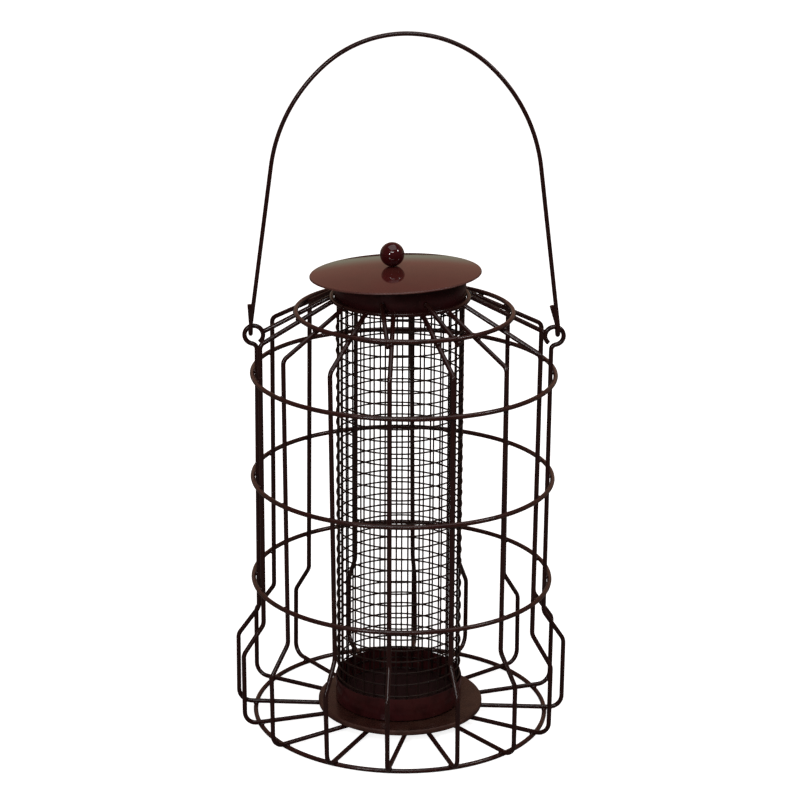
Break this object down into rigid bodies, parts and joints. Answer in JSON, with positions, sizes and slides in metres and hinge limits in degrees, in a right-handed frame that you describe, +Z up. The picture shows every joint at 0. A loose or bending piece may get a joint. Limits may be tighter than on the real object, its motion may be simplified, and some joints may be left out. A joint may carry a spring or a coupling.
{
  "type": "bird feeder",
  "caption": "Tall mesh seed tube inside a round wire cage with an open top, standing on a ring and plate, with a lift-off domed lid with a ball knob and a swinging wire bail.",
  "frame": {"origin": "on the cage's axis, on the flat underside of the base ring that the feeder stands on", "axes": "+Z up along the seed tube, +X to the right through the bail's hinge eyes, and -Y towards the side seen in the picture"},
  "size_m": [0.1799, 0.179, 0.3748],
  "materials": {
    "cage_wire": "gloss",
    "cage_ring": "gloss",
    "base_plate": "gloss",
    "base_cup": "gloss",
    "collar": "gloss",
    "mesh_tube": "satin",
    "lid": "gloss",
    "lid_skirt": "gloss",
    "knob": "gloss",
    "knob_hardware": "satin",
    "bail": "gloss"
  },
  "bodies": {
    "cage": {"cage_wire_01": "cage_wire", "cage_wire_02": "cage_wire", "cage_wire_03": "cage_wire", "cage_wire_04": "cage_wire", "cage_wire_05": "cage_wire", "cage_wire_06": "cage_wire", "cage_wire_07": "cage_wire", "cage_wire_08": "cage_wire", "cage_wire_09": "cage_wire", "cage_wire_10": "cage_wire", "cage_wire_11": "cage_wire", "cage_wire_12": "cage_wire", "cage_wire_13": "cage_wire", "cage_wire_14": "cage_wire", "eye_wire_right": "cage_wire", "eye_wire_left": "cage_wire", "eye_brace_right": "cage_wire", "eye_brace_left": "cage_wire", "lower_ring": "cage_ring", "middle_ring": "cage_ring", "upper_ring": "cage_ring", "shoulder_ring": "cage_ring", "neck_hoop": "cage_ring", "base_ring": "cage_ring", "neck_strut_1": "cage_wire", "neck_strut_2": "cage_wire", "neck_strut_3": "cage_wire", "neck_strut_4": "cage_wire", "base_plate": "base_plate", "base_cup": "base_cup", "collar": "collar", "mesh_tube": "mesh_tube"},
    "lid": {"lid": "lid", "lid_skirt": "lid_skirt", "knob": "knob", "knob_screw": "knob_hardware", "knob_washer": "knob_hardware"},
    "bail": {"bail": "bail"}
  },
  "joints": [
    {"name": "bail_hinge", "type": "hinge", "parent": "cage", "child": "bail", "pos_m": [0, 0, 0.2196], "axis": [1, 0, 0], "range_deg": [-120, 120]},
    {"name": "lid_lift", "type": "slide", "parent": "cage", "child": "lid", "axis": [0, 0, 1], "range_m": [0, 0.06]}
  ]
}
